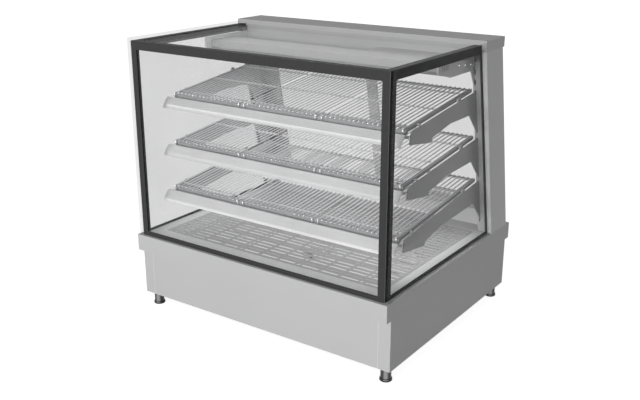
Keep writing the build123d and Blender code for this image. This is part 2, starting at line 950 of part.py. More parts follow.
def bracket(tier):
    """Cantilever plate that hooks in the upright and carries the tier's pins."""
    front_y = base_y + tier_fronts[tier]
    front_z = tier_heights[tier]
    length = shelf_length(tier)
    rear_z = shelf_point(tier, length, 0)[1]
    tip_z = rear_z - bracket_root
    seat = pivot_level() - pivot_pin / 2 - rest_gap
    top_y, top_z = shelf_point(tier, length, seat)
    outline = [
        shelf_point(tier, rail_depth, seat), (top_y, top_z), (glass_rear(top_z), top_z),
        (glass_rear(tip_z), tip_z),
        (glass_rear(tip_z) - bracket_gusset_run, tip_z + bracket_gusset_rise),
        (front_y + bracket_arm_reach, front_z - bracket_arm_drop),
        (front_y + bracket_knee_reach, front_z - bracket_knee_drop),
        (front_y + bracket_knee_reach, front_z - bracket_knee_drop - bracket_knee_step),
        (front_y + bracket_nose_setback, front_z - bracket_nose_drop),
    ]
    x0 = bracket_x
    x1 = bracket_x + bracket_thickness
    plate = slab(outline, x0, x1)
    low_climb = (tip_z - collar_top) / math.cos(lean)
    high_climb = (top_z - collar_top) / math.cos(lean) - upright_slot_height
    tabs = [climb + bracket_slot_play for climb in slot_climbs()
            if low_climb + bracket_slot_play < climb < high_climb]
    for climb in tabs:
        plate += leaning_strip(x0, x1, -upright_wall, bracket_tab_reach, climb, climb + bracket_tab_height)
    pin_y, pin_z = shelf_point(tier, length - pivot_setback, pivot_level())
    ear = rod(x0, x1, pin_y, pin_z, bracket_ear)
    hole = rod(x0 - 1, x1 + 1, pin_y, pin_z, pivot_pin + 2 * pivot_clearance)
    return plate + ear - hole


def rail_front():
    """Front face of the front rail, just behind the racks' lip wires."""
    return weld_bite + rest_gap


def tier_frame(tier):
    """Welded shelf frame: front rail, side rails with ledges, rear rail and pin stubs."""
    length = shelf_length(tier)
    low = -side_rail_height
    wire_seat = -wire / 2 - rest_gap
    ledge_top = -wire / 2 - cross_wire + weld_bite - rest_gap
    ledge_low = ledge_top - ledge_thickness
    inner = shelf_half_width - side_rail
    front = rail_front()
    frame = block(-inner, inner, front, front + rail_depth, wire_seat - rail_height, wire_seat)
    frame = fillet(frame.edges().filter_by(Axis.X).sort_by(Axis.Y)[:2], rail_corner)
    frame += block(-inner, inner, length - rear_rail_depth, length, wire_seat - rear_rail_height, wire_seat)
    for side in (-1, 1):
        a, b = sorted((side * inner, side * shelf_half_width))
        frame += block(a, b, front, length, low, 0)
        c, d = sorted((side * (inner - ledge), side * inner))
        frame += block(c, d, front, length, ledge_low, ledge_top)
        e, f = sorted((side * inner, side * (bracket_x + bracket_thickness)))
        for along in (support_pin_reach, length - pivot_setback):
            frame += rod(e, f, along, pivot_level(), pivot_pin)
    return tier_place(tier) * frame


def tier_place(tier):
    """Where a tier's own flat frame of reference lies in the cabinet."""
    return Location((0, base_y + tier_fronts[tier], tier_heights[tier]), (shelf_tilt, 0, 0))


def rack_wires(tier):
    """One welded wire rack, lying flat with its front edge at y = 0."""
    length = shelf_length(tier) - rack_rear_gap
    count = int((rack_width - wire) / wire_pitch) + 1
    first = -wire_pitch * (count - 1) / 2
    rack = lip()
    for index in range(count):
        x = first + index * wire_pitch
        rack += Pos(x, length / 2, 0) * Rot(90, 0, 0) * Cylinder(wire / 2, length)
    z = -wire / 2 - cross_wire / 2 + weld_bite
    half = rack_width / 2
    passes = int((length - cross_wire_start - cross_wire_rear) / cross_wire_pitch) + 1
    places = [cross_wire_start + index * cross_wire_pitch for index in range(passes)]
    for y in places + [length - cross_wire_rear]:
        rack += rod(-half, half, y, z, cross_wire)
    return rack


def lip():
    """Heavier front wire whose ends bend down in front of the rail."""
    half = rack_width / 2 - lip_wire / 2
    y = weld_bite - lip_wire / 2
    points = [(-half, y, -lip_drop), (-half, y, 0), (half, y, 0), (half, y, -lip_drop)]
    path = FilletPolyline(*points, radius=lip_bend)
    start = Plane(origin=path @ 0, z_dir=path % 0)
    return sweep(start * Circle(lip_wire / 2), path)


def tier_racks(tier):
    """Equal racks side by side."""
    single = rack_wires(tier)
    first = -(rack_count - 1) * rack_pitch / 2
    places = [first + index * rack_pitch for index in range(rack_count)]
    return group([tier_place(tier) * Pos(x, 0, 0) * single for x in places])


def ticket_strip(tier):
    """Bowed label holder that leans forward below the front rail, with a flange on the rail."""
    tilt = math.radians(ticket_lean)
    top_y, top_z = shelf_point(tier, 0, 0)
    top_y -= ticket_reach
    top_z -= ticket_drop

    def face(down, out):
        y = top_y - down * math.sin(tilt) - out * math.cos(tilt)
        z = top_z - down * math.cos(tilt) + out * math.sin(tilt)
        return y, z

    steps = 6
    outer = []
    inner = []
    for index in range(steps + 1):
        share = index / steps
        bow = ticket_bow * 4 * share * (1 - share)
        outer.append(face(share * ticket_height, bow))
        inner.append(face(share * ticket_height, bow - ticket_wall))
    back = rail_front() - rest_gap
    low = -ticket_flange_top - ticket_flange_height
    heel = shelf_point(tier, back, -ticket_flange_top)
    toe = shelf_point(tier, back, low)
    toe_front = shelf_point(tier, back - ticket_wall, low)
    heel_front = shelf_point(tier, back - ticket_wall, -ticket_flange_top - ticket_wall)
    outline = [heel, toe, toe_front, heel_front] + inner[1:] + outer[::-1]
    return slab(outline, -ticket_half_width, ticket_half_width)


# Heat lamp canopy
def canopy_outline():
    """Corner points of the canopy's section, from the top rear round the front to the glass ledge."""
    y0 = base_y + canopy_front
    y1 = y0 + canopy_depth
    slope_end = (y0 + canopy_slope_depth, canopy_top - canopy_rear_lip)
    return [
        (y1 - canopy_glass_ledge, canopy_top - canopy_rear_lip), (y1, canopy_top - canopy_rear_lip),
        (y1, canopy_top), (y0, canopy_top), (y0, canopy_top - canopy_front_lip), slope_end,
        (slope_end[0] + canopy_glass_ledge, slope_end[1]),
    ]


def canopy():
    """Folded lamp housing with a sloping front reflector, open below for the glass."""
    path = Polyline(*canopy_outline())
    skin = offset(path, amount=-sheet, side=Side.LEFT)
    face = make_face(skin)
    plane = Plane(origin=(-canopy_half_width, 0, 0), x_dir=(0, 1, 0), z_dir=(1, 0, 0))
    return extrude(plane * face, 2 * canopy_half_width)


def canopy_ends():
    """End plates that carry the canopy from the header and the uprights."""
    y0 = base_y + canopy_front
    y1 = header_front() - rest_gap
    low = canopy_top - canopy_rear_lip - canopy_end_low
    high = canopy_top + canopy_end_rise
    foot_z = low - canopy_end_foot
    skirt_z = cap_bottom - header_skirt_drop - rest_gap
    outline = [
        (y0 - canopy_end_front, canopy_top - canopy_front_lip), (y0 - canopy_end_front, high),
        (y1, high), (y1, skirt_z), (glass_rear(skirt_z), skirt_z), (glass_rear(foot_z), foot_z),
        (glass_rear(low) - canopy_end_foot_run, low), (y0 + canopy_slope_depth, low),
    ]
    x0 = canopy_half_width
    x1 = canopy_half_width + canopy_end_plate
    plate = slab(outline, x0, x1)
    for index in range(canopy_end_hole_count):
        y = y0 + canopy_depth - canopy_end_hole_start + index * canopy_end_hole_pitch
        z = canopy_top - canopy_end_hole_drop - index * canopy_end_hole_fall
        plate -= rod(x0 - 1, x1 + 1, y, z, canopy_end_hole)
    return group([plate, mirrored(plate)])


def lamp_ys():
    """Y places of the two lamp tubes, over the glass."""
    middle = base_y + canopy_front + (canopy_slope_depth + canopy_depth) / 2
    return (middle - lamp_spacing / 2, middle + lamp_spacing / 2)


def lamp_z():
    """Centre height of the lamp tubes."""
    return canopy_top - sheet - lamp_holder_size / 2


def lamp_end():
    """Half length of the lamp tubes, which end inside the holders."""
    return canopy_half_width - lamp_holder_length + lamp_grip


def heat_lamps():
    """Two long heat lamp tubes."""
    return group([rod(-lamp_end(), lamp_end(), y, lamp_z(), lamp_diameter) for y in lamp_ys()])


def lamp_holders():
    """End holders fixed under the canopy's top that grip the tubes."""
    solids = []
    half = lamp_holder_size / 2
    for side in (-1, 1):
        outer = side * canopy_half_width
        inner = side * (canopy_half_width - lamp_holder_length)
        tube_end = side * (lamp_end() + rest_gap)
        mouth = inner - side
        for y in lamp_ys():
            body = block(outer, inner, y - half, y + half, lamp_z() - half, lamp_z() + half)
            bore = rod(min(mouth, tube_end), max(mouth, tube_end), y, lamp_z(),
                       lamp_diameter + 2 * rest_gap)
            solids.append(body - bore)
    return group(solids)


def canopy_pane():
    """Glass on the canopy's two ledges, under the lamps."""
    x = canopy_half_width - rest_gap
    y0 = base_y + canopy_front + canopy_slope_depth + sheet
    y1 = base_y + canopy_front + canopy_depth - sheet - rest_gap
    z0 = canopy_top - canopy_rear_lip + sheet + rest_gap
    return block(-x, x, y0, y1, z0, z0 + canopy_glass)


def junction_box():
    """Wiring cover between the canopy and the header."""
    y0 = base_y + canopy_front + canopy_depth
    y1 = header_front() - rest_gap
    x0, x1 = canopy_half_width - junction_box_length, canopy_half_width
    z0, z1 = canopy_top - junction_box_drop, canopy_top
    cover = block(x0, x1, y0, y1, z0, z1)
    return cover - block(x0 + sheet, x1 - sheet, y0 + sheet, y1 - sheet, z0 - 1, z1 - sheet)


# Controls
def rear_place(x):
    """Local frame on the rear base panel: x across, y up, z out of the panel."""
    return Plane(origin=(x, base_end, controls_height), x_dir=(-1, 0, 0), z_dir=(0, 1, 0))


def thermostat():
    """Thermostat body behind the panel with its shaft through it."""
    body = Pos(0, 0, -sheet - thermostat_depth / 2) * Box(thermostat_size, thermostat_size, thermostat_depth)
    shaft = extrude(Plane.XY.offset(-sheet) * Circle(knob_shaft / 2), sheet + knob_shaft_length)
    return rear_place(knob_x) * (body + shaft)


def knob():
    """Round thermostat knob with a pointer rib."""
    skirt = Pos(0, 0, stop_gap + knob_skirt / 2) * Cylinder(knob_diameter / 2, knob_skirt)
    grip_length = knob_length - knob_skirt
    grip_middle = stop_gap + knob_skirt + grip_length / 2
    grip = Pos(0, 0, grip_middle) * Cylinder(knob_grip_diameter / 2, grip_length)
    pointer = Pos(0, knob_diameter / 4, grip_middle) * Box(
        knob_pointer, knob_diameter / 2 - knob_pointer / 2, grip_length)
    bore = extrude(Plane.XY.offset(-1) * Circle(knob_shaft / 2 + pivot_clearance),
                   knob_shaft_length + 1 + stop_gap)
    return rear_place(knob_x) * (skirt + grip + pointer - bore)


def switch_bodies():
    """Two switch bodies clipped into the rear panel, with holes for the rockers' pins."""
    solids = []
    for x in switch_xs:
        w, h = switch_width, switch_height
        rim = 2 * switch_bezel_rim
        bezel = Pos(0, 0, switch_bezel / 2) * Box(w + rim, h + rim, switch_bezel)
        body = Pos(0, 0, -switch_depth / 2) * Box(w - 2 * switch_fit, h - 2 * switch_fit, switch_depth)
        pocket_height = switch_pocket + switch_bezel + 1
        pocket = Pos(0, 0, pocket_height / 2 - switch_pocket) * Box(
            w - 2 * switch_wall, h - 2 * switch_wall, pocket_height)
        reach = rocker_half_width() + rocker_pin_reach + switch_fit
        holes = rod(-reach, reach, 0, 0, rocker_pin + 2 * pivot_clearance)
        solids.append(rear_place(x) * (bezel + body - pocket - holes))
    return group(solids)


def rocker_half_width():
    """Half the width of a rocker in its pocket."""
    return switch_width / 2 - switch_wall - rocker_clearance


def rocker(x):
    """Rocker on two short pins, which tips about a horizontal axis inside its switch body."""
    half_x = rocker_half_width()
    half = switch_height / 2 - switch_wall - rocker_clearance - rocker_end_gap
    rise = math.tan(math.radians(rocker_tilt)) * half
    t = rocker_half_thickness
    outline = [(-half, -t), (half, -t), (half, t), (0, t - rise / 2), (-half, t + rise)]
    pin = half_x + rocker_pin_reach
    body = slab(outline, -half_x, half_x) + rod(-pin, pin, 0, 0, rocker_pin)
    return rear_place(x) * body


def cord_gland():
    """Hexagonal gland where a supply cord would enter."""
    head = extrude(Plane.XY.offset(gland_flange) * RegularPolygon(gland_hex / 2, 6), gland_head)
    flange = Pos(0, 0, gland_flange / 2) * Cylinder(gland_hex / 2 + gland_flange_rim, gland_flange)
    neck = Pos(0, 0, -gland_neck / 2) * Cylinder(gland_bore / 2 + gland_wall, gland_neck)
    nut = Pos(0, 0, -sheet - gland_nut / 2) * Cylinder(gland_hex / 2, gland_nut)
    bore = Cylinder(gland_bore / 2, 2 * (gland_neck + gland_flange + gland_head))
    return rear_place(gland_x) * (head + flange + neck + nut - bore)


def terminal_block():
    """Mains terminal block on the base floor."""
    y = base_end - terminal_setback - terminal_depth / 2
    top = foot_height + sheet + terminal_height
    shape = block(gland_x - terminal_width / 2, gland_x + terminal_width / 2,
                  y - terminal_depth / 2, y + terminal_depth / 2, foot_height + sheet, top)
    for index in range(terminal_poles):
        x = gland_x + terminal_width * ((index + 0.5) / terminal_poles - 0.5)
        shape -= Pos(x, y, top) * Cylinder(terminal_hole / 2, 2 * terminal_hole_depth)
    return shape


def panel_screws():
    """Flat round screw heads on the rear flanges of the base."""
    solids = []
    for side in (-1, 1):
        for z in (foot_height + screw_inset, base_top - screw_inset):
            place = Pos(side * (half_width - screw_inset), base_end + screw_head_height / 2, z)
            solids.append(place * Rot(90, 0, 0) * Cylinder(screw_head / 2, screw_head_height))
    return group(solids)


save("base_side_right", base_side())
save("base_side_left", mirrored(base_side()))
save("base_front_panel", base_front())
save("base_rear_panel", base_rear())
save("base_floor", base_floor())
save("collar", collar())
for name, place in zip(("front_left", "front_right", "rear_left", "rear_right"), foot_places()):
    save(f"foot_{name}", foot(*place))
save("deck_border", deck_border())
save("deck_panels", deck_panels())
save("heated_well", well())
save("heating_element", heating_element())
save("fan_housing", fan_housing())
save("fan_rotor", fan_rotor())
save("glass_frame", glass_frame())
save("front_glass", front_glass())
save("side_glass_right", side_glass())
save("side_glass_left", mirrored(side_glass()))
save("side_spacers", group([side_spacer(), mirrored(side_spacer())]))
save("top_glass", top_glass())
save("header", header())
save("rear_wall_right", pillar())
save("rear_wall_left", mirrored(pillar()))
save("door_jambs", group([jamb(), mirrored(jamb())]))
save("rear_sill", sill())
save("door_tracks", group([track(True), track(False)]))
for name, side in (("left", -1), ("right", 1)):
    save(f"door_{name}_frame", door_frame(side))
    save(f"door_{name}_glass", door_pane(side))
save("shelf_uprights", group([upright(), mirrored(upright())]))
for number, tier in enumerate(range(3), start=1):
    plate = bracket(tier)
    save(f"tier_{number}_brackets", group([plate, mirrored(plate)]))
    save(f"tier_{number}_frame", tier_frame(tier))
    save(f"tier_{number}_racks", tier_racks(tier))
    save(f"tier_{number}_ticket_strip", ticket_strip(tier))
save("lamp_canopy", canopy())
save("canopy_end_plates", canopy_ends())
save("heat_lamps", heat_lamps())
save("lamp_holders", lamp_holders())
save("canopy_glass", canopy_pane())
save("canopy_junction_box", junction_box())
save("thermostat", thermostat())
save("thermostat_knob", knob())
save("switch_bodies", switch_bodies())
save("heat_rocker", rocker(switch_xs[0]))
save("light_rocker", rocker(switch_xs[1]))
save("cord_gland", cord_gland())
save("terminal_block", terminal_block())
save("panel_screws", panel_screws())
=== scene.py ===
import bpy
import bmesh
import json
import math
from mathutils import Matrix, Vector


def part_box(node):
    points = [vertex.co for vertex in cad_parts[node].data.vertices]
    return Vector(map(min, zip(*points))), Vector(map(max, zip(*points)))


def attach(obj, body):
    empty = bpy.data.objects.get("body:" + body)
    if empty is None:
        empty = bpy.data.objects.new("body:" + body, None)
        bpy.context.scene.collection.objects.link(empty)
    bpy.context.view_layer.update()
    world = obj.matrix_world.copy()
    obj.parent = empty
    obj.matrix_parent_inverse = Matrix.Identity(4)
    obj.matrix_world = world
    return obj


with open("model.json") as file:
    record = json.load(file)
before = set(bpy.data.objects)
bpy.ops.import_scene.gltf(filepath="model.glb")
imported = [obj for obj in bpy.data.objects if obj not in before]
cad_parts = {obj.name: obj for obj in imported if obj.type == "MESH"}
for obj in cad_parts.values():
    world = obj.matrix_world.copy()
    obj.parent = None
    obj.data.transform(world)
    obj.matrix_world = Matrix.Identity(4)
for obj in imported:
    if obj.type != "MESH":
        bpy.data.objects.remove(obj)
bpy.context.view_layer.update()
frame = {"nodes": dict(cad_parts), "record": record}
nodes = frame["nodes"]

# Axes, and noise scales that are even or draw the grain out along one axis
x_axis = (1, 0, 0)
y_axis = (0, 1, 0)
even = (1, 1, 1)
along_x = (0.03, 1, 1)
along_y = (1, 0.03, 1)
along_z = (1, 1, 0.03)

# Both hands of a pair: the sign of x and the word in the name
hands = ((-1, "left"), (1, "right"))

# Places and sizes of the tiers and racks, in metres like all lengths here
base_front = -0.359
tier_fronts = (0.123, 0.117, 0.105)
tier_heights = (0.668, 0.52, 0.377)
tier_half_width = 0.405
tier_tilt = math.radians(6.5)
rack_count = 3
rack_side_gap = 0.004
rack_gap = 0.015
rack_room = 2 * (tier_half_width - rack_side_gap)
rack_width = (rack_room - (rack_count - 1) * rack_gap) / rack_count
rack_pitch = rack_width + rack_gap
wire_pitch = 0.0148
wire_count = 18

# The case's rear line: where it starts at the top, and how far it leans
case_top = 0.840
case_top_rear = 0.125
case_lean = math.radians(11.4)


# Node helpers
def new_material(name):
    """Empty node material with its output."""
    mat = bpy.data.materials.new(name)
    mat.use_nodes = True
    tree = mat.node_tree
    tree.nodes.clear()
    out = tree.nodes.new("ShaderNodeOutputMaterial")
    return mat, tree, out


def add(tree, kind, **inputs):
    """New node with its attributes and sockets set by name."""
    node = tree.nodes.new(kind)
    for key, value in inputs.items():
        if key in node.inputs:
            node.inputs[key].default_value = value
        else:
            setattr(node, key, value)
    return node


def join(tree, value, socket):
    """Another node's output linked to a socket, or a constant set on it."""
    if isinstance(value, bpy.types.NodeSocket):
        tree.links.new(value, socket)
    else:
        socket.default_value = value


def coords(tree, kind):
    """One kind of texture coordinates."""
    return tree.nodes.new("ShaderNodeTexCoord").outputs[kind]


def noise(tree, scale, size, detail=3.0, roughness=0.5):
    """Noise factor in object coordinates stretched by a scale vector."""
    stretch = add(tree, "ShaderNodeMapping")
    join(tree, scale, stretch.inputs["Scale"])
    join(tree, coords(tree, "Object"), stretch.inputs["Vector"])
    tex = add(tree, "ShaderNodeTexNoise", Scale=size, Detail=detail, Roughness=roughness)
    join(tree, stretch.outputs["Vector"], tex.inputs["Vector"])
    return tex.outputs["Fac"]


def ramp(tree, fac, low, high, a, b):
    """Factor mapped from low..high to a..b."""
    node = add(tree, "ShaderNodeMapRange")
    join(tree, low, node.inputs["From Min"])
    join(tree, high, node.inputs["From Max"])
    join(tree, a, node.inputs["To Min"])
    join(tree, b, node.inputs["To Max"])
    join(tree, fac, node.inputs["Value"])
    return node.outputs["Result"]


def spread(tree, fac, a, b):
    """Middle of a noise factor's range mapped to a..b."""
    return ramp(tree, fac, 0.3, 0.7, a, b)


def blend(tree, fac, a, b, kind="MIX"):
    """Colour mixed by a factor from two colours, each three numbers or a node's output."""
    node = tree.nodes.new("ShaderNodeMix")
    node.data_type = "RGBA"
    node.blend_type = kind
    join(tree, fac, node.inputs["Factor"])
    for colour, key in ((a, "A"), (b, "B")):
        if not isinstance(colour, bpy.types.NodeSocket):
            colour = (*colour, 1)
        join(tree, colour, node.inputs[key])
    return node.outputs["Result"]


def maths(tree, operation, *values):
    """Result of a maths node fed with constants or node outputs."""
    node = add(tree, "ShaderNodeMath", operation=operation)
    for value, socket in zip(values, node.inputs):
        join(tree, value, socket)
    return node.outputs[0]


def vector_maths(tree, operation, *values):
    """Vector maths node fed with vectors or node outputs."""
    node = add(tree, "ShaderNodeVectorMath", operation=operation)
    for value, socket in zip(values, node.inputs):
        join(tree, value, socket)
    return node


def looks_along(tree, axis, low=0.6, high=0.9):
    """1 where a face looks along an axis, 0 where it looks across it."""
    dot = vector_maths(tree, "DOT_PRODUCT", coords(tree, "Normal"), axis)
    return ramp(tree, maths(tree, "ABSOLUTE", dot.outputs["Value"]), low, high, 0, 1)


def bump(tree, height, strength, distance):
    """Bump normal from a height factor."""
    node = add(tree, "ShaderNodeBump", Strength=strength, Distance=distance)
    join(tree, height, node.inputs["Height"])
    return node.outputs["Normal"]


def fine_bump(tree, size, distance):
    """Bump normal of an even, fine grain."""
    return bump(tree, noise(tree, even, size, detail=2.0), strength=0.3, distance=distance)


def mixed_shaders(tree, factor, a, b):
    """Two shaders mixed by a factor."""
    node = tree.nodes.new("ShaderNodeMixShader")
    join(tree, factor, node.inputs["Fac"])
    join(tree, a, node.inputs[1])
    join(tree, b, node.inputs[2])
    return node.outputs["Shader"]


def ray_share(tree):
    """1 for rays from the camera, a mirror or a clear body, 0 for light that lights the object."""
    path = tree.nodes.new("ShaderNodeLightPath")
    first = maths(tree, "MAXIMUM", path.outputs["Is Camera Ray"], path.outputs["Is Glossy Ray"])
    return maths(tree, "MAXIMUM", first, path.outputs["Is Transmission Ray"])


# Kinds of material
def opaque(name, metallic, shine=0.5, coat=0.0):
    """New material of one opaque shader, with its node tree and that shader."""
    mat, tree, out = new_material(name)
    bsdf = add(tree, "ShaderNodeBsdfPrincipled", Metallic=metallic)
    join(tree, shine, bsdf.inputs["Specular IOR Level"])
    join(tree, coat, bsdf.inputs["Coat Weight"])
    join(tree, bsdf.outputs["BSDF"], out.inputs["Surface"])
    return mat, tree, bsdf


def dress(tree, bsdf, fac, colour, rough, normal=None):
    """Colour, roughness between two values and relief put on a shader."""
    join(tree, colour, bsdf.inputs["Base Color"])
    join(tree, spread(tree, fac, *rough), bsdf.inputs["Roughness"])
    if normal is not None:
        join(tree, normal, bsdf.inputs["Normal"])


def surface(name, dark, light, rough, bump_size, metallic=0.0, size=120.0, bump_scale=400.0,
            coat=0.0):
    """Opaque material: noise between two colours and two roughness values, with fine bump."""
    mat, tree, bsdf = opaque(name, metallic, coat=coat)
    fac = noise(tree, even, size)
    colour = blend(tree, spread(tree, fac, 0, 1), dark, light)
    dress(tree, bsdf, fac, colour, rough, fine_bump(tree, bump_scale, bump_size))
    return mat


def brushed(name, shade, grain, rough=(0.32, 0.45), metallic=0.2, shine=0.5, facing=None):
    """Brushed sheet steel: long fine streaks along one axis over a slow variation.

    Facing, when given, is an axis and a shade for the faces that look along it: painted light and
    shade, for how the light falls on those faces.
    """
    streak_share, dark_share, light_share = 0.6, 0.94, 1.05
    tint = (1.0, 1.0, 1.008)
    mat, tree, bsdf = opaque(name, metallic, shine)
    streak = noise(tree, grain, size=900.0, detail=4.0, roughness=0.65)
    slow = spread(tree, noise(tree, even, size=3.0, detail=2.0), 0.05, 0.35)
    dark = [shade * dark_share * t for t in tint]
    light = [min(1.0, shade * light_share * t) for t in tint]
    colour = blend(tree, maths(tree, "MULTIPLY_ADD", streak, streak_share, slow), dark, light)
    # Faces that look along the axis get their own shade: painted light and shade
    if facing is not None:
        axis, painted_facing_shade = facing
        painted_light_gain = painted_facing_shade / shade
        colour = blend(tree, looks_along(tree, axis), colour, [painted_light_gain] * 3, "MULTIPLY")
    dress(tree, bsdf, streak, colour, rough, bump(tree, streak, strength=0.15, distance=0.00003))
    return mat


def pane(name, passes, veil=0.03, shine=0.35):
    """Clear flat glass that doesn't bend what is behind it, with a faint veil and a soft mirror.

    Rays from lamps pass it whole, so that what stands behind it is lit as in the open.
    """
    smear_share, clean_share = 0.993, 1.007
    grazing_power = 5.0
    mat, tree, out = new_material(name)
    clear = tree.nodes.new("ShaderNodeBsdfTransparent")
    smear = ramp(tree, noise(tree, even, size=5.0, detail=2.0), 0.35, 0.65, 0, 1)
    low, high = passes * smear_share, min(1.0, passes * clean_share)
    join(tree, blend(tree, smear, [low] * 3, [high] * 3), clear.inputs["Color"])
    gloss = add(tree, "ShaderNodeBsdfPrincipled", Metallic=0.0, Roughness=0.03)
    join(tree, (0.8, 0.82, 0.82, 1), gloss.inputs["Base Color"])
    facing = add(tree, "ShaderNodeLayerWeight", Blend=0.5)
    grazing = maths(tree, "POWER", facing.outputs["Facing"], grazing_power)
    mirror = ramp(tree, grazing, 0.0, 1.0, veil, shine)
    seen = mixed_shaders(tree, mirror, clear.outputs["BSDF"], gloss.outputs["BSDF"])
    path = tree.nodes.new("ShaderNodeLightPath")
    open_air = tree.nodes.new("ShaderNodeBsdfTransparent")
    whole = mixed_shaders(tree, path.outputs["Is Shadow Ray"], seen, open_air.outputs["BSDF"])
    join(tree, whole, out.inputs["Surface"])
    return mat


def painted_frame(name, shade, painted_side_shade, edge):
    """Satin black paint with painted light: lighter on front faces, which the front light falls
    on, and painted highlights of colour edge where the edges are rounded.

    The parts of a normal sum to 1 on a flat face, and to more where an edge turns.
    """
    dark_share, light_share = 0.9, 1.1
    turned_low, turned_high = 1.22, 1.4
    mat, tree, bsdf = opaque(name, metallic=0.0, shine=0.07)
    parts = vector_maths(tree, "ABSOLUTE", coords(tree, "Normal"))
    summed = vector_maths(tree, "DOT_PRODUCT", parts.outputs[0], (1, 1, 1))
    # Where an edge turns, the colour goes to edge: painted highlights
    painted_edge_highlight = ramp(tree, summed.outputs["Value"], turned_low, turned_high, 0, 1)
    grain = noise(tree, even, size=90.0)
    side, front = [blend(tree, grain, [tone * dark_share] * 3, [tone * light_share] * 3)
                   for tone in (painted_side_shade, shade)]
    # Faces that don't look along y take the side tone: painted shade
    flat = blend(tree, looks_along(tree, y_axis), side, front)
    colour = blend(tree, painted_edge_highlight, flat, [edge] * 3)
    dress(tree, bsdf, grain, colour, (0.4, 0.55), fine_bump(tree, size=1500.0, distance=0.00005))
    return mat


def polished(name):
    """Polished round steel: dark, with a painted highlight in a bright band towards the camera and
    one opposite.
    """
    glint_axis = (0.5, -0.866, 0)
    band_low, band_high = 0.86, 0.99
    mat, tree, bsdf = opaque(name, metallic=0.5)
    fac = noise(tree, (1, 1, 0.1), size=120.0)
    dark = blend(tree, fac, (0.02, 0.02, 0.02), (0.05, 0.05, 0.05))
    bright = blend(tree, fac, (0.28, 0.28, 0.29), (0.34, 0.34, 0.35))
    # Faces that look along this axis get the bright colour: painted highlights
    painted_glint = looks_along(tree, glint_axis, band_low, band_high)
    dress(tree, bsdf, fac, blend(tree, painted_glint, dark, bright), (0.25, 0.35))
    return mat


def rack_steel(name, front):
    """Coated rack wire, with painted shade on the heavy wire along the front edge, where the front
    light falls on it.
    """
    soft_edge = 0.0004
    mat, tree, bsdf = opaque(name, metallic=0.1)
    split = tree.nodes.new("ShaderNodeSeparateXYZ")
    join(tree, coords(tree, "Object"), split.inputs["Vector"])
    behind = ramp(tree, split.outputs["Y"], front - soft_edge, front + soft_edge, 0, 1)
    fac = noise(tree, even, size=180.0)
    # The heavy front wire is darker: painted shade
    painted_shade_front_wire = blend(tree, fac, (0.36, 0.36, 0.37), (0.42, 0.42, 0.43))
    thin = blend(tree, fac, (0.72, 0.72, 0.73), (0.84, 0.84, 0.85))
    dress(tree, bsdf, fac, blend(tree, behind, painted_shade_front_wire, thin), (0.25, 0.4),
          fine_bump(tree, size=400.0, distance=0.00003))
    return mat


# Mesh helpers
def linked(name, data):
    """New object in the scene."""
    thing = bpy.data.objects.new(name, data)
    bpy.context.collection.objects.link(thing)
    return thing


def piece(name, work, mat, body, smooth=False):
    """Bmesh made into a named piece, with its normals turned outwards, that rides on a body."""
    bmesh.ops.recalc_face_normals(work, faces=work.faces)
    mesh = bpy.data.meshes.new(name)
    work.to_mesh(mesh)
    work.free()
    for face in mesh.polygons:
        face.use_smooth = smooth
    mesh.materials.append(mat)
    thing = linked(name, mesh)
    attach(thing, body)


def rounded(work, edges, offset):
    """Edges of a bmesh rounded in two steps."""
    return bmesh.ops.bevel(work, geom=edges, offset=offset, segments=2, profile=0.5,
                           affect="EDGES")["verts"]


def bar(work, low, high, round_by, turn=None):
    """Box between two corners added to a bmesh, with rounded edges, and turned by a matrix."""
    made = bmesh.ops.create_cube(work, size=1.0)["verts"]
    size = [b - a for a, b in zip(low, high)]
    middle = [(a + b) / 2 for a, b in zip(low, high)]
    for vert in made:
        vert.co = Vector([m + c * s for m, c, s in zip(middle, vert.co, size)])
    edges = list({edge for vert in made for edge in vert.link_edges})
    made = list(set(rounded(work, edges, round_by)))
    if turn:
        bmesh.ops.transform(work, matrix=turn, verts=made)


def dome(work, place, radius, stretch):
    """Small smooth bead added to a bmesh."""
    made = bmesh.ops.create_uvsphere(work, u_segments=10, v_segments=6, radius=radius)["verts"]
    for vert in made:
        vert.co = Vector([c * k for c, k in zip(vert.co, stretch)])
    bmesh.ops.transform(work, matrix=place, verts=made)


def ring(work, centre, radius, width, low, high, turn=None, steps=32):
    """Flat ring round the Z axis added to a bmesh, between two heights, turned and moved."""
    corners = ((radius, low), (radius, high), (radius + width, high), (radius + width, low))
    rows = []
    for index in range(steps):
        angle = 2 * math.pi * index / steps
        away = Vector((math.cos(angle), math.sin(angle), 0))
        rows.append([work.verts.new(away * r + Vector((0, 0, z))) for r, z in corners])
    for index in range(steps):
        a, b = rows[index], rows[(index + 1) % steps]
        for k in range(4):
            work.faces.new((a[k], a[(k + 1) % 4], b[(k + 1) % 4], b[k]))
    verts = [vert for row in rows for vert in row]
    if turn:
        bmesh.ops.transform(work, matrix=turn, verts=verts)
    bmesh.ops.translate(work, vec=centre, verts=verts)


def bevel(node, width):
    """Small rounding on a carried-over solid's sharp edges."""
    tool = nodes[node].modifiers.new("edge_rounding", "BEVEL")
    tool.width = width
    tool.segments = 2
    tool.limit_method = "ANGLE"
    tool.angle_limit = math.radians(40)
    tool.harden_normals = True


def hidden_lamp(name, place, width, depth, power):
    """Rectangular lamp that shines down and isn't seen itself."""
    area = bpy.data.lights.new(name, "AREA")
    area.shape = "RECTANGLE"
    area.size = width
    area.size_y = depth
    area.energy = power
    lamp = linked(name, area)
    lamp.location = place
    lamp.visible_camera = False
    lamp.visible_glossy = False
    lamp.visible_transmission = False


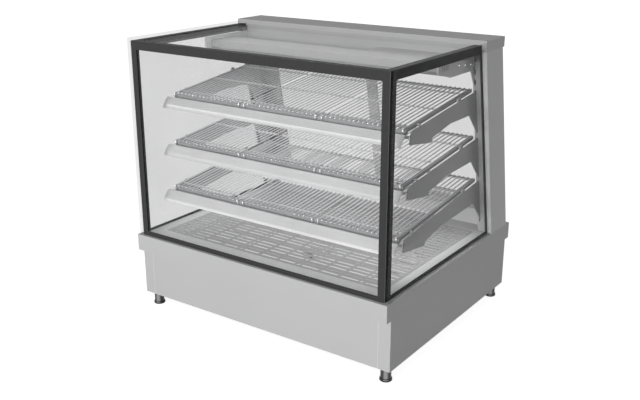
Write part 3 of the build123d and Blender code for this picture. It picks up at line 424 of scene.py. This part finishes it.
# Materials by slot
satin = {"rough": (0.5, 0.6), "metallic": 0.04, "shine": 0.12}
paint = {
    "stainless": brushed("stainless_brushed_x", 0.58, along_x, **satin),
    "deck_steel": brushed("deck_steel", 0.39, along_x, rough=(0.4, 0.55)),
    "shelf_steel": surface("shelf_steel", (0.44, 0.44, 0.45), (0.5, 0.5, 0.51), (0.35, 0.5),
                           bump_size=0.00004, metallic=0.2, size=140.0),
    "black_frame": painted_frame("frame_black", shade=0.053, painted_side_shade=0.004, edge=0.15),
    "clear_glass": pane("glass_side", 0.885, veil=0.018),
    "clear_spacer": pane("edge_spacer", 0.985, veil=0.01, shine=0.1),
    "anodised": brushed("anodised_door", 0.6, along_z, rough=(0.3, 0.42)),
    "ticket_plastic": surface("ticket_strip", (0.84, 0.84, 0.845), (0.9, 0.9, 0.905),
                              (0.3, 0.42), bump_size=0.00002, size=12.0),
    "element_sheath": surface("element_sheath", (0.5, 0.48, 0.46), (0.6, 0.58, 0.55),
                              (0.4, 0.6), bump_size=0.0001, metallic=0.3),
    "lamp_glass": surface("lamp_tube", (0.75, 0.7, 0.6), (0.86, 0.8, 0.7), (0.15, 0.25),
                          bump_size=0.00003, size=60.0, coat=0.5),
    "lamp_ceramic": surface("lamp_ceramic", (0.74, 0.72, 0.68), (0.84, 0.83, 0.8), (0.5, 0.7),
                            bump_size=0.00008),
    "black_plastic": surface("black_plastic", (0.03, 0.03, 0.032), (0.045, 0.045, 0.047),
                             (0.45, 0.6), bump_size=0.00008, size=200.0, bump_scale=900.0),
    "knob_plastic": surface("knob_plastic", (0.02, 0.02, 0.022), (0.03, 0.03, 0.032),
                            (0.25, 0.35), bump_size=0.00004),
    "rocker_plastic": surface("rocker_plastic", (0.5, 0.03, 0.02), (0.6, 0.05, 0.03),
                              (0.2, 0.3), bump_size=0.00003, size=150.0),
    "screw_steel": surface("screw_steel", (0.5, 0.5, 0.51), (0.6, 0.6, 0.61), (0.2, 0.3),
                           bump_size=0.00003, metallic=0.9, size=300.0),
    "foot_steel": polished("foot_steel"),
}

# Materials of single nodes, in place of their slot's
# Base sides: a lighter shade on the sides than on the faces that look forward, set for the light
# that falls on each: painted light
side_steel_painted_light = brushed("stainless_brushed_y_painted_light", 0.63, along_y, facing=(y_axis, 0.58), **satin)
# Rear walls: dark sides and light faces that look forward, set for the light on each: painted
# shade and painted light
wall_steel_lit_and_shaded = brushed("stainless_wall_lit_and_shaded", 0.345, along_z, facing=(y_axis, 0.55))
# Uprights and brackets: a copy of the stainless with its shade set for the dim light inside the
# case: painted light
inner_steel_painted_light = brushed("stainless_inner_painted_light", 0.47, along_z, rough=(0.35, 0.5))
# Heated well and fan: a light copy of the stainless that stands in for the light the deck's slots
# let in: painted light
well_steel_painted_light = brushed("well_steel_painted_light", 0.85, along_y, rough=(0.4, 0.55))
canopy_steel = brushed("canopy_steel", 0.37, along_x, metallic=0.05, shine=0.1)
door_glass = pane("glass_door", 0.93)
special = {
    "base_side_left": side_steel_painted_light,
    "base_side_right": side_steel_painted_light,
    "rear_wall_left": wall_steel_lit_and_shaded,
    "rear_wall_right": wall_steel_lit_and_shaded,
    # Header: a lighter shade on its ends than on its top and front, set for the light that falls
    # on each: painted light
    "header": brushed("stainless_header_painted_light", 0.45, along_x, rough=(0.5, 0.6), metallic=0.05,
                      shine=0.1, facing=(x_axis, 0.62)),
    "shelf_uprights": inner_steel_painted_light,
    "canopy_end_plates": brushed("end_plate_steel", 0.75, along_y, rough=(0.35, 0.5)),
    "heated_well": well_steel_painted_light,
    "fan_housing": well_steel_painted_light,
    "fan_rotor": well_steel_painted_light,
    "lamp_canopy": canopy_steel,
    "front_glass": pane("glass_front", 0.885, veil=0.04),
    "top_glass": pane("glass_top", 0.955, shine=0.25),
    "door_left_glass": door_glass,
    "door_right_glass": door_glass,
    "canopy_glass": pane("glass_canopy", 0.96, veil=0.02, shine=0.22),
    # Top tier's ticket strip: a darker copy of the strip plastic, set for the light above it:
    # painted shade
    "tier_1_ticket_strip": surface("ticket_strip_top_painted_shade", (0.74, 0.74, 0.745), (0.8, 0.8, 0.805),
                                   (0.3, 0.42), bump_size=0.00002, size=12.0),
}
for tier, front in enumerate(tier_fronts, 1):
    special[f"tier_{tier}_brackets"] = inner_steel_painted_light
    special[f"tier_{tier}_racks"] = rack_steel(f"rack_wire_{tier}", base_front + front)

for part in frame["record"]["subparts"]:
    node = part["node"]
    mesh = nodes[node].data
    mesh.materials.clear()
    mesh.materials.append(special[node] if node in special else paint[part["material_slot"]])

# Materials of the small parts
# Bright polished metal for the rivets, and for the painted highlights on the racks' wire ends
rivet_and_glint_metal = surface("rivet_and_glint_metal", (0.86, 0.86, 0.86), (0.94, 0.94, 0.94), (0.15, 0.25),
                    bump_size=0.00003, metallic=1.0, size=300.0)
# Pale colour for strips that stand in for light on edges: painted light and painted highlights
painted_light_strip = surface("pale_painted_light", (0.7, 0.7, 0.7), (0.78, 0.78, 0.78), (0.5, 0.6),
               bump_size=0.00005, size=90.0)
rubber = surface("rubber", (0.02, 0.02, 0.02), (0.035, 0.035, 0.035), (0.7, 0.85),
                 bump_size=0.0001, size=200.0)
mark_paint = surface("mark_paint", (0.8, 0.8, 0.8), (0.88, 0.88, 0.88), (0.4, 0.5),
                     bump_size=0.00002, size=200.0)
# Dark colour for printed marks, and for the painted shade in the screws' cross recesses
dark_print_and_shade = surface("dark_print_and_shade", (0.03, 0.03, 0.03), (0.05, 0.05, 0.05), (0.4, 0.5),
                    bump_size=0.00002, size=200.0)

# Rounded edges of the frame and of sheet steel, and of the small parts added below
frame_round, sheet_round = 0.0012, 0.0005
pale_strip_round, small_round, mark_round = 0.0003, 0.0002, 0.0001
bevel("glass_frame", frame_round)
for node in ("base_side_left", "base_side_right", "base_front_panel", "base_rear_panel",
             "collar", "header", "rear_wall_left", "rear_wall_right", "lamp_canopy",
             "canopy_junction_box"):
    bevel(node, sheet_round)

# Bright beads on the wires' front ends, and one near each front corner of a rack: painted
# highlights where the wire ends and the front wire's bent ends catch the light
bead_at, bead_radius, bead_stretch = (-0.0016, 0.0024), 0.0034, (1.0, 1.4, 0.9)
hook_glint_at, hook_glint_radius, hook_glint_stretch = (-0.0024, -0.0055), 0.0036, (0.95, 1.0, 2.0)
hook_glint_inset = 0.0025
for tier, (front, height) in enumerate(zip(tier_fronts, tier_heights), 1):
    work = bmesh.new()
    level = Matrix.Translation((0, base_front + front, height))
    level = level @ Matrix.Rotation(tier_tilt, 4, "X")
    for rack in range(rack_count):
        rack_x = (rack - (rack_count - 1) / 2) * rack_pitch
        for wire in range(wire_count):
            x = rack_x + (wire - (wire_count - 1) / 2) * wire_pitch
            place = level @ Matrix.Translation((x, *bead_at))
            dome(work, place, bead_radius, bead_stretch)
        for side in (-1, 1):
            x = rack_x + side * (rack_width / 2 - hook_glint_inset)
            place = level @ Matrix.Translation((x, *hook_glint_at))
            dome(work, place, hook_glint_radius, hook_glint_stretch)
    piece(f"tier_{tier}_wire_end_glints", work, rivet_and_glint_metal, f"tier_{tier}", smooth=True)

# Pale strips behind the side glass, along the case's rear line: painted light on the rear walls'
# front edges, seen through the glass
pale_strip_x = (0.4366, 0.4494)
pale_strip_heights = (0.246, 0.820)
pale_strip_depths = (0.0006, 0.0019)
for side, word in hands:
    work = bmesh.new()
    made = []
    for x in sorted(side * x for x in pale_strip_x):
        for z in pale_strip_heights:
            y = case_top_rear + (case_top - z) * math.tan(case_lean)
            for depth in pale_strip_depths:
                made.append(work.verts.new((x, y + depth, z)))
    bmesh.ops.convex_hull(work, input=made)
    rounded(work, list(work.edges), pale_strip_round)
    piece(f"glass_edge_painted_light_{word}", work, painted_light_strip, "cabinet")

rear_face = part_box("base_rear_panel")[1].y
base_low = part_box("base_front_panel")[0].z
base_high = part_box("base_front_panel")[1].z

# Rivets and louvres on the canopy's end plates, placed from the canopy's upper rear edge
canopy_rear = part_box("lamp_canopy")[1].y
canopy_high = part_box("lamp_canopy")[1].z
plate_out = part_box("canopy_end_plates")[1].x
rivet_count, rivet_start, rivet_pitch = 3, -0.005, 0.037
rivet_drop, rivet_fall = 0.014, 0.004
rivet_radius, rivet_stretch = 0.0042, (0.4, 1.0, 1.0)
louvre_count, louvre_start, louvre_pitch, louvre_width = 4, -0.104, 0.01, 0.003
louvre_low, louvre_high, louvre_rise = 0.018, 0.003, 0.0006
for side, word in hands:
    work = bmesh.new()
    for index in range(rivet_count):
        place = Matrix.Translation((side * plate_out,
                                    canopy_rear + rivet_start + rivet_pitch * index,
                                    canopy_high - rivet_drop - rivet_fall * index))
        dome(work, place, rivet_radius, rivet_stretch)
    piece(f"canopy_rivets_{word}", work, rivet_and_glint_metal, "cabinet", smooth=True)
    work = bmesh.new()
    x0, x1 = sorted((side * plate_out, side * (plate_out + louvre_rise)))
    for index in range(louvre_count):
        y = canopy_rear + louvre_start + louvre_pitch * index
        bar(work, (x0, y, canopy_high - louvre_low),
            (x1, y + louvre_width, canopy_high - louvre_high), small_round)
    piece(f"canopy_louvres_{word}", work, canopy_steel, "cabinet")

# Dial scale on the operator's side, with every fifth mark longer
mark_half, mark_rise = 0.0004, 0.0003
mark_inner, mark_outer, mark_outer_long = 0.026, 0.0295, 0.0315
mark_count, long_every = 11, 5
dial_start, dial_step = -135, 27
low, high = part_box("thermostat_knob")
knob_at = ((low.x + high.x) / 2, high.y, (low.z + high.z) / 2)
work = bmesh.new()
for index in range(mark_count):
    turn = Matrix.Translation((knob_at[0], rear_face, knob_at[2]))
    turn = turn @ Matrix.Rotation(math.radians(dial_start + dial_step * index), 4, "Y")
    reach = mark_outer if index % long_every else mark_outer_long
    bar(work, (-mark_half, 0.0, mark_inner), (mark_half, mark_rise, reach), mark_round, turn)
piece("dial_scale", work, dark_print_and_shade, "cabinet")

# Pointer line on the knob
line_half, line_sunk, line_rise = 0.0007, 0.0004, 0.0002
line_inner, line_outer = 0.004, 0.015
work = bmesh.new()
bar(work, (knob_at[0] - line_half, knob_at[1] - line_sunk, knob_at[2] + line_inner),
    (knob_at[0] + line_half, knob_at[1] + line_rise, knob_at[2] + line_outer), small_round)
piece("knob_pointer_line", work, mark_paint, "knob")

# Marks by the switches: a stroke above each and a circle below it
stroke_low, stroke_high = 0.007, 0.013
circle_drop, circle_radius, circle_width = 0.0095, 0.0026, 0.0008
upright = Matrix.Rotation(math.radians(90), 4, "X")
work = bmesh.new()
for node in ("heat_rocker", "light_rocker"):
    low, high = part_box(node)
    x = (low.x + high.x) / 2
    bar(work, (x - mark_half, rear_face, high.z + stroke_low),
        (x + mark_half, rear_face + mark_rise, high.z + stroke_high), mark_round)
    ring(work, (x, rear_face, low.z - circle_drop), circle_radius, circle_width,
         -mark_rise, 0.0, upright, steps=24)
piece("switch_marks", work, dark_print_and_shade, "cabinet")

# Dark crosses on the panel screws: painted shade in their cross recesses
screw_x, screw_inset, screw_face = 0.431, 0.019, 0.0021
cross_half, cross_half_width, cross_rise = 0.0023, 0.0004, 0.0004
cross_turn = 20
work = bmesh.new()
for side in (-1, 1):
    for z in (base_low + screw_inset, base_high - screw_inset):
        for turned in (0, 90):
            turn = Matrix.Translation((side * screw_x, rear_face + screw_face, z))
            turn = turn @ Matrix.Rotation(math.radians(turned + cross_turn), 4, "Y")
            bar(work, (-cross_half, 0.0, -cross_half_width),
                (cross_half, cross_rise, cross_half_width), mark_round, turn)
piece("screw_recess_painted_shade", work, dark_print_and_shade, "cabinet")

# Rubber bands round the foot pads
band_radius, band_width, band_low, band_high = 0.0169, 0.0007, 0.0016, 0.0052
sharp = 1.2
for word in ("front_left", "front_right", "rear_left", "rear_right"):
    low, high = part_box(f"foot_{word}")
    work = bmesh.new()
    ring(work, ((low.x + high.x) / 2, (low.y + high.y) / 2, 0.0), band_radius, band_width,
         band_low, band_high)
    rounded(work, [edge for edge in work.edges if edge.calc_face_angle(0) > sharp], small_round)
    piece(f"foot_rubber_{word}", work, rubber, f"{word}_foot", smooth=True)

# Pale strips on the seams between the front panel and the side panels' flanges: painted highlights
# on the flanges' edges
front_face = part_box("base_front_panel")[0].y
front_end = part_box("base_front_panel")[1].x
seam_half, seam_rise, seam_sunk, seam_end_gap = 0.0007, 0.0002, 0.0004, 0.0005
for side, word in hands:
    work = bmesh.new()
    bar(work, (side * front_end - seam_half, front_face - seam_rise, base_low + seam_end_gap),
        (side * front_end + seam_half, front_face + seam_sunk, base_high - seam_end_gap),
        small_round)
    piece(f"front_seam_highlight_{word}", work, painted_light_strip, "cabinet")

# Floor: it glows to the camera, and is plain grey to the light that falls on it
bpy.ops.mesh.primitive_plane_add(size=30, location=(0, 0, 0))
floor = bpy.context.object
floor.name = "studio_floor"
mat, tree, out = new_material("studio_floor")
soft = add(tree, "ShaderNodeBsdfDiffuse", Color=(0.6, 0.6, 0.6, 1))
glow = add(tree, "ShaderNodeEmission", Color=(1, 1, 1, 1))
join(tree, ramp(tree, ray_share(tree), 0, 1, 0.0, 0.88), glow.inputs["Strength"])
both = tree.nodes.new("ShaderNodeAddShader")
join(tree, soft.outputs["BSDF"], both.inputs[0])
join(tree, glow.outputs["Emission"], both.inputs[1])
join(tree, both.outputs["Shader"], out.inputs["Surface"])
floor.data.materials.append(mat)

# Background, white for the camera and dim as a light
world = bpy.data.worlds.new("studio")
bpy.context.scene.world = world
world.use_nodes = True
tree = world.node_tree
tree.nodes.clear()
back = add(tree, "ShaderNodeBackground", Color=(1, 1, 1, 1))
join(tree, ramp(tree, ray_share(tree), 0, 1, 0.27, 1.0), back.inputs["Strength"])
out = tree.nodes.new("ShaderNodeOutputWorld")
join(tree, back.outputs["Background"], out.inputs["Surface"])

# Broad light from the front
sun = bpy.data.lights.new("front_light", "SUN")
sun.energy = 2.5
sun.angle = math.radians(25)
lamp = linked("front_light", sun)
lamp.rotation_euler = Vector((0.0, 1.0, -0.1)).to_track_quat("-Z", "Y").to_euler()

# Soft light inside the case: above the top tier, under each tier and in the heated well.
# Each row is the height, the place in depth, the width, the depth and the power.
for index, (z, y, width, depth, power) in enumerate((
        (0.825, -0.12, 0.78, 0.32, 0.65),
        (0.64, -0.11, 0.8, 0.34, 0.65),
        (0.49, -0.1, 0.8, 0.36, 0.65),
        (0.345, -0.08, 0.84, 0.5, 0.6),
        (0.236, -0.06, 0.76, 0.4, 0.7))):
    hidden_lamp(f"case_light_{index}", (0, y, z), width, depth, power)

# Strips of light over the deck's front and ends
deck_light_height = 0.32
for word, x, y, width, depth, power in (
        ("front", 0, -0.335, 0.84, 0.04, 0.12),
        ("left", -0.4, -0.06, 0.04, 0.5, 0.12),
        ("right", 0.37, -0.02, 0.1, 0.44, 0.2)):
    hidden_lamp(f"deck_light_{word}", (x, y, deck_light_height), width, depth, power)

# Camera fitted to the photograph
eye = bpy.data.cameras.new("camera")
eye.sensor_width = 36.0
eye.lens = 48.86
eye.clip_start = 0.05
camera = linked("camera", eye)
camera.location = (1.46355, -2.1195, 1.20233)
camera.rotation_euler = Vector((-0.54510, 0.77546, -0.31862)).to_track_quat("-Z", "Y").to_euler()
bpy.context.scene.camera = camera
bpy.context.scene.view_settings.view_transform = "Standard"
